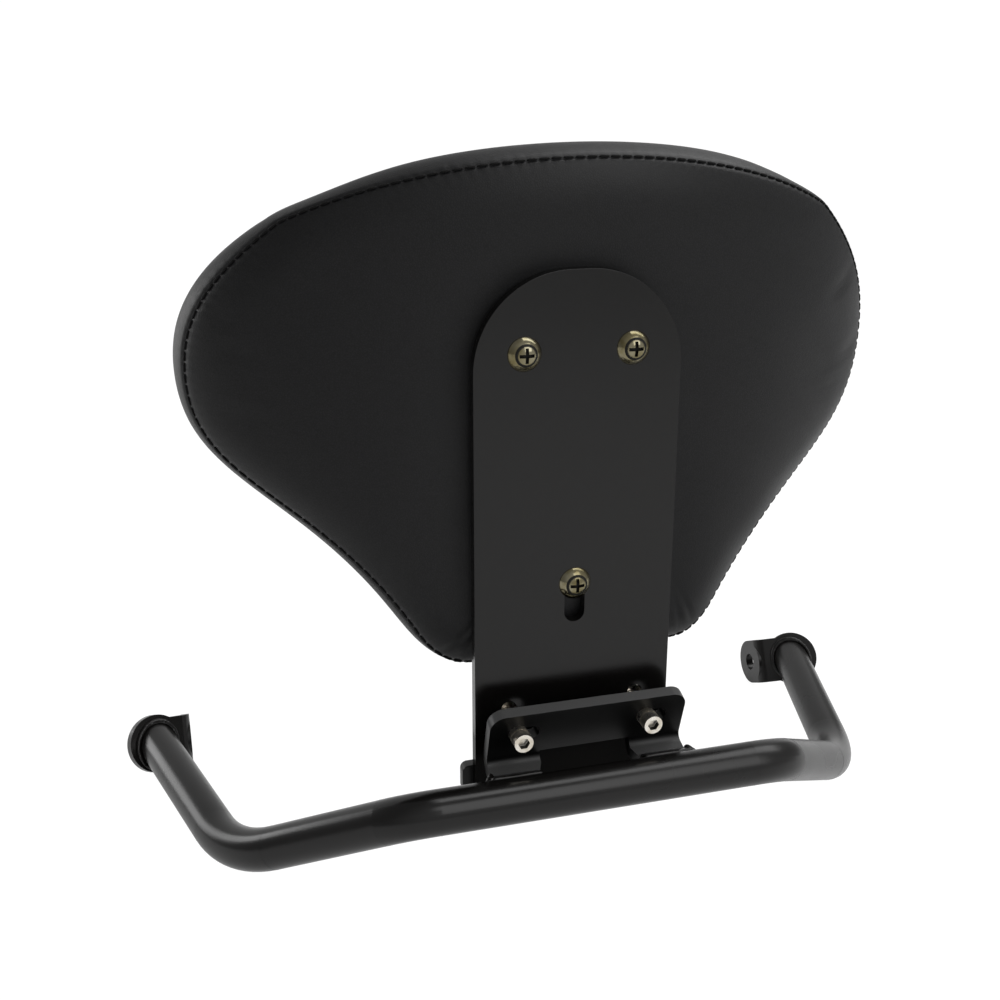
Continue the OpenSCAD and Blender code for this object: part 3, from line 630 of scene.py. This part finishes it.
def padOutline():
    p = pad
    corner = Vector((p["cornerX"], p["cornerAt"]))
    wing = Vector((p["half"], p["wideAt"]))
    foot = Vector((p["footHalf"], p["footAt"] + p["footTurn"]))
    flank = slopeDir(p["footSlope"])
    toeReach = p["footTurn"] * p["toeReach"]
    toe = Vector((p["footHalf"] - p["footTurn"] * p["toeIn"], p["footAt"]))
    lowest = Vector((0, p["footAt"]))
    pieces = (
        (Vector((0, p["top"])), Vector((p["topReach"], p["top"])),
         corner - slopeDir(-p["cornerInSlope"]) * p["cornerInReach"], corner),
        (corner, corner + slopeDir(-p["cornerOutSlope"]) * p["cornerOutReach"],
         wing + Vector((0, p["wideInReach"])), wing),
        (wing, wing - Vector((0, p["wideOutReach"])), foot + flank * p["footReach"], foot),
        (foot, foot - flank * toeReach, toe + Vector((toeReach, 0)), toe),
        (toe, toe.lerp(lowest, 1 / 3), toe.lerp(lowest, 2 / 3), lowest),
    )
    half = [bezier(*piece, i / count) for piece, count in zip(pieces, p["around"]) for i in range(count)]
    return half + [lowest] + [Vector((-q.x, q.y)) for q in reversed(half[1:])]


outline = padOutline()
ringCount = len(outline)
padMid = Vector((0, (pad["top"] + pad["footAt"]) / 2))


def outwardAt(i):
    v = (outline[(i + 1) % ringCount] - outline[i - 1]).normalized()
    return Vector((-v.y, v.x))


def roundedOff(points, rounds):  # takes the turn out of the outline's two shoulders
    span = range(-pad["softReach"], pad["softReach"] + 1)
    for _ in range(rounds):
        points = [sum((points[(i + k) % ringCount] for k in span), Vector((0, 0))) / len(span)
                  for i in range(ringCount)]
    return points


outward = [outwardAt(i) for i in range(ringCount)]
softOutline = roundedOff(outline, pad["lineRounds"])
softOutward = roundedOff(outward, pad["turnRounds"])
lengthTo = [0]
for i in range(1, ringCount):
    lengthTo.append(lengthTo[-1] + (outline[i] - outline[i - 1]).length)


def sweepAt(x):
    return pad["wingSweep"] * (abs(x) / pad["half"]) ** pad["wingTurn"]


def seamDrop(z):
    return pad["edgeDrop"] - pad["seamLean"] * (z - padMid.y) / (padMid.y - pad["footAt"])


def groove(away):  # depth of the seam's valley at this distance from it
    return pad["grooveDeep"] * math.exp(-(away / pad["grooveWide"]) ** 2)


def pucker(i, away):  # the cover draws in about once a stitch
    wave = 0.5 - 0.5 * math.cos(2 * math.pi * lengthTo[i] / pad["stitchPitch"])
    return pad["puckerDeep"] * wave * math.exp(-(away / pad["puckerWide"]) ** 2)


def foldAt(x, z):  # short creases where the cover is gathered beside the plate
    total = 0
    for fx, fz, half, turn, deep in pad["foldAt"]:
        way = slopeDir(turn)
        off = Vector((x - fx, z - fz))
        across = off.dot(Vector((-way.y, way.x)))
        total += deep * math.exp(-(off.dot(way) / half) ** 2 - (across / pad["foldWide"]) ** 2)
    return total


def panelSteps():  # fine rows beside the seam, wide rows in the middle
    n = pad["panelRows"]
    return [1 - (1 - k / n) ** pad["panelCrowding"] for k in range(1, n + 1)]


def crownAt(away):  # the panel rolls over just before its seam
    return pad["crown"] * max(0, 1 - away / pad["crownWide"]) ** 2


def offPlate(x, z):  # distance from the plate that the rear panel is drawn against
    high = max(0, z - (pad["plateTop"] - pad["plateHalf"]))
    side = Vector((x - pad["plateSet"], high)).length if high else abs(x - pad["plateSet"])
    return max(0, side - pad["plateHalf"])


def riseAt(x, z):  # the panel swells up beside the plate
    return pad["rise"] * (1 - math.exp(-(offPlate(x + pad["set"], z) / pad["riseWide"]) ** 2))


def drawnIn(i):  # the front of the band is smaller at the two shoulders
    q = outline[i]
    off = (Vector((abs(q.x), q.y)) - Vector(pad["drawAt"])).length
    return pad["drawIn"] * math.exp(-(off / pad["drawWide"]) ** 2)


def swellAt(i):
    return pad["bandSwell"] * (pad["sideSwell"] + pad["topSwell"] * max(0, outward[i].y))


def padRows(sewn):  # plain for the cloth, sewn for the finished cover
    p = pad
    rings = []

    def dip(i, away):
        return groove(away) + pucker(i, away) if sewn else 0

    for f in panelSteps():  # rear panel, from its middle to the seam
        ring = []
        turn = f ** p["edgeTurn"]
        for i in range(ringCount):
            edge = outline[i].lerp(softOutline[i], min(1, p["panelSoft"] * (1 - f)))
            q = padMid.lerp(edge, f)
            away = (edge - q).length
            y = p["rearAt"] + sweepAt(q.x) + seamDrop(q.y) * turn + crownAt(away)
            y -= riseAt(q.x, q.y) * (1 - turn)
            fold = foldAt(q.x, q.y) if sewn else 0
            ring.append(Vector((q.x, y + dip(i, away) + fold, q.y)))
        rings.append(ring)
    for k in range(1, p["bandRows"]):  # side band
        s = 0.5 - 0.5 * math.cos(math.pi * k / p["bandRows"])
        ring = []
        for i in range(ringCount):
            away = min(s, 1 - s) * p["bandDeep"]
            q = outline[i].lerp(softOutline[i], min(1, p["bandSoft"] * s))
            y = p["rearAt"] + sweepAt(q.x) + seamDrop(q.y) + p["crown"] * (1 - s) + p["bandDeep"] * s
            q = q + softOutward[i] * (swellAt(i) * math.sin(math.pi * s) - dip(i, away) - drawnIn(i) * s)
            ring.append(Vector((q.x, y, q.y)))
        rings.append(ring)
    for f in reversed(panelSteps()):  # front panel, from its seam to the middle
        ring = []
        swell = p["frontSwell"] * (1 - f ** p["frontTurn"])
        for i in range(ringCount):
            edge = softOutline[i] - softOutward[i] * drawnIn(i)
            q = padMid.lerp(edge, f)
            away = (edge - q).length
            y = p["rearAt"] + p["bandDeep"] + sweepAt(q.x) + seamDrop(q.y) + swell
            ring.append(Vector((q.x, y - dip(i, away), q.y)))
        rings.append(ring)
    return rings


def fromBar(v):
    return Vector((v.x + pad["set"], v.y, v.z)) * mm + barOrigin


def ringMesh(name, rings):
    shell = bmesh.new()
    grid = [[shell.verts.new(v) for v in ring] for ring in rings]
    ends = [shell.verts.new((ring[0] + ring[ringCount // 2]) / 2) for ring in (rings[0], rings[-1])]
    for i in range(ringCount):
        j = (i + 1) % ringCount
        shell.faces.new((ends[0], grid[0][j], grid[0][i]))
        shell.faces.new((ends[1], grid[-1][i], grid[-1][j]))
        for a, b in zip(grid, grid[1:]):
            shell.faces.new((a[i], a[j], b[j], b[i]))
    bmesh.ops.recalc_face_normals(shell, faces=shell.faces)
    mesh = bpy.data.meshes.new(name)
    shell.to_mesh(mesh)
    shell.free()
    return mesh


puff = {  # lengths in mm
    "voxel": 5, "pressure": 6, "frames": 20, "most": 5.0, "bandShare": 0.12,
    "held": 5, "flush": 2, "fade": 9, "rearDeep": 12,
    "near": 6, "blend": 0.8,
}


def treeOf(points):
    tree = kdtree.KDTree(len(points))
    for n, p in enumerate(points):
        tree.insert(p, n)
    tree.balance()
    return tree


def holdAt(p, seams):  # 1 at the seams and under the plate, 0 where the cloth is free
    hold = max(0, 1 - seams.find(p)[2] / mm / puff["held"])
    local = (p - barOrigin) / mm
    if local.y < pad["rearAt"] + puff["rearDeep"]:
        free = (offPlate(local.x, local.z) - puff["flush"]) / puff["fade"]
        hold = max(hold, min(1, 1 - free))
    return hold


def puffedPad(base, seams):  # cloth under pressure, held at the seams and by the plate
    ob = bpy.data.objects.new("padTrial", base.copy())
    scene.collection.objects.link(ob)
    applyModifier(ob, "REMESH", mode="VOXEL", voxel_size=puff["voxel"] * mm)
    before = [v.co.copy() for v in ob.data.vertices]
    held = ob.vertex_groups.new(name="held")
    for v in ob.data.vertices:
        held.add([v.index], holdAt(v.co, seams), "REPLACE")
    step = ob.modifiers.new("cloth", "CLOTH")
    cloth = step.settings
    cloth.vertex_group_mass = "held"
    cloth.pin_stiffness = 1
    cloth.use_pressure = True
    cloth.uniform_pressure_force = puff["pressure"]
    cloth.effector_weights.gravity = 0
    step.point_cache.frame_end = puff["frames"]
    for frameNow in range(1, puff["frames"] + 1):
        scene.frame_set(frameNow)
    bpy.context.view_layer.objects.active = ob
    bpy.ops.object.modifier_apply(modifier="cloth")
    moves = []
    most = puff["most"] * mm
    for v, start in zip(ob.data.vertices, before):
        move = v.co - start
        moves.append(move * (most / move.length) if move.length > most else move)
    print("pad puffed, furthest move", round(max(m.length for m in moves) / mm, 2), "mm")
    mesh = ob.data
    bpy.data.objects.remove(ob)
    bpy.data.meshes.remove(mesh)
    scene.frame_set(1)
    return treeOf(before), moves


def moveAt(where, moves, p):
    total, weight = Vector(), 0
    for _, n, away in where.find_n(p, puff["near"]):
        w = 1 / (away + puff["blend"] * mm)
        total += moves[n] * w
        weight += w
    return total / weight


def puffRows(plain, sewn):  # carries the cloth's movement to the fine rows
    base = ringMesh("padBase", plain)
    where, moves = puffedPad(base, treeOf(plain[rearSeamRow] + plain[frontSeamRow]))
    for row in range(len(plain)):
        share = puff["bandShare"] if rearSeamRow < row < frontSeamRow else 1
        puffed = [moveAt(where, moves, p) * share for p in plain[row]]
        sewn[row] = [v + move for v, move in zip(sewn[row], puffed)]
        plain[row] = [v + move for v, move in zip(plain[row], puffed)]
    bpy.data.meshes.remove(base)


def buildPad():
    plain = [[fromBar(v) for v in ring] for ring in padRows(False)]
    sewn = [[fromBar(v) for v in ring] for ring in padRows(True)]
    puffRows(plain, sewn)
    mesh = ringMesh("backrestPad", sewn)
    mesh.shade_smooth()
    ob = bpy.data.objects.new("backrestPad", mesh)
    scene.collection.objects.link(ob)
    mesh.materials.append(finish["coverVinyl"])
    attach(ob, "root")
    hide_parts("back_cover", "side_band", "front_cover", "foam_core")
    return ob, plain


backrestPad, padGrid = buildPad()
print("pad ready:", len(backrestPad.data.polygons), "faces")


# stitches along both seams

stitch = {
    "length": 5.0, "thick": 1.55, "fineLength": 4.2, "fineThick": 0.8, "sunk": 0.7,
    "waist": 0.8, "waistWide": 0.1, "panelSide": 6, "bandSide": 4,  # the last two in rows
}


def stitchShape():  # one stitch, lying along X
    bpy.ops.object.select_all(action="DESELECT")
    bpy.ops.mesh.primitive_uv_sphere_add(segments=8, ring_count=6, radius=0.5, rotation=(0, math.radians(90), 0))
    ob = bpy.context.object
    bpy.ops.object.transform_apply(rotation=True)
    bpy.ops.object.mode_set(mode="EDIT")
    bpy.ops.mesh.select_all(action="DESELECT")
    bpy.ops.object.mode_set(mode="OBJECT")
    for v in ob.data.vertices:  # a slimmer waist
        v.select = abs(v.co.x) < stitch["waistWide"]
    bpy.ops.object.mode_set(mode="EDIT")
    bpy.ops.transform.resize(value=(1, stitch["waist"], stitch["waist"]), center_override=(0, 0, 0))
    bpy.ops.object.mode_set(mode="OBJECT")
    shape = ([v.co.copy() for v in ob.data.vertices], [tuple(p.vertices) for p in ob.data.polygons])
    mesh = ob.data
    bpy.data.objects.remove(ob)
    bpy.data.meshes.remove(mesh)
    return shape


def seamPath(row):  # the seam's own line with the cover's outward direction
    ring = padGrid[row]
    back, ahead = stitch["panelSide"], stitch["bandSide"]
    if row == frontSeamRow:
        back, ahead = ahead, back
    inner, outer = padGrid[row - back], padGrid[row + ahead]
    path = []
    for i, p in enumerate(ring):
        along = (ring[(i + 1) % ringCount] - ring[i - 1]).normalized()
        away = (p - inner[i]).normalized() + (p - outer[i]).normalized()
        away = away - along * away.dot(along)
        path.append((p, along, away.normalized()))
    return path


def spaced(path, pitch):
    out, left = [], 0
    for n, (p, along, away) in enumerate(path):
        q = path[(n + 1) % len(path)][0]
        span = (q - p).length
        while left < span:
            out.append((p.lerp(q, left / span), along, away))
            left += pitch
        left -= span
    return out


def addStitches(name, row, length, thick):
    points, faces = stitchShape()
    allPoints, allFaces = [], []
    for p, along, away in spaced(seamPath(row), pad["stitchPitch"] * mm):
        side = along.cross(away)
        start = len(allPoints)
        middle = p - away * stitch["sunk"] * mm
        for v in points:
            allPoints.append(middle + along * v.x * length * mm + side * v.y * thick * mm + away * v.z * thick * mm)
        allFaces += [tuple(i + start for i in f) for f in faces]
    mesh = bpy.data.meshes.new(name)
    mesh.from_pydata(allPoints, [], allFaces)
    ob = bpy.data.objects.new(name, mesh)
    scene.collection.objects.link(ob)
    bpy.ops.object.select_all(action="DESELECT")
    bpy.context.view_layer.objects.active = ob
    ob.select_set(True)
    bpy.ops.object.mode_set(mode="EDIT")
    bpy.ops.mesh.select_all(action="SELECT")
    bpy.ops.mesh.normals_make_consistent(inside=False)
    bpy.ops.object.mode_set(mode="OBJECT")
    mesh.shade_smooth()
    mesh.materials.append(finish["blackThread"])
    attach(ob, "root")


addStitches("rearSeamStitches", rearSeamRow, stitch["length"], stitch["thick"])
addStitches("frontSeamStitches", frontSeamRow, stitch["fineLength"], stitch["fineThick"])
print("stitches ready")
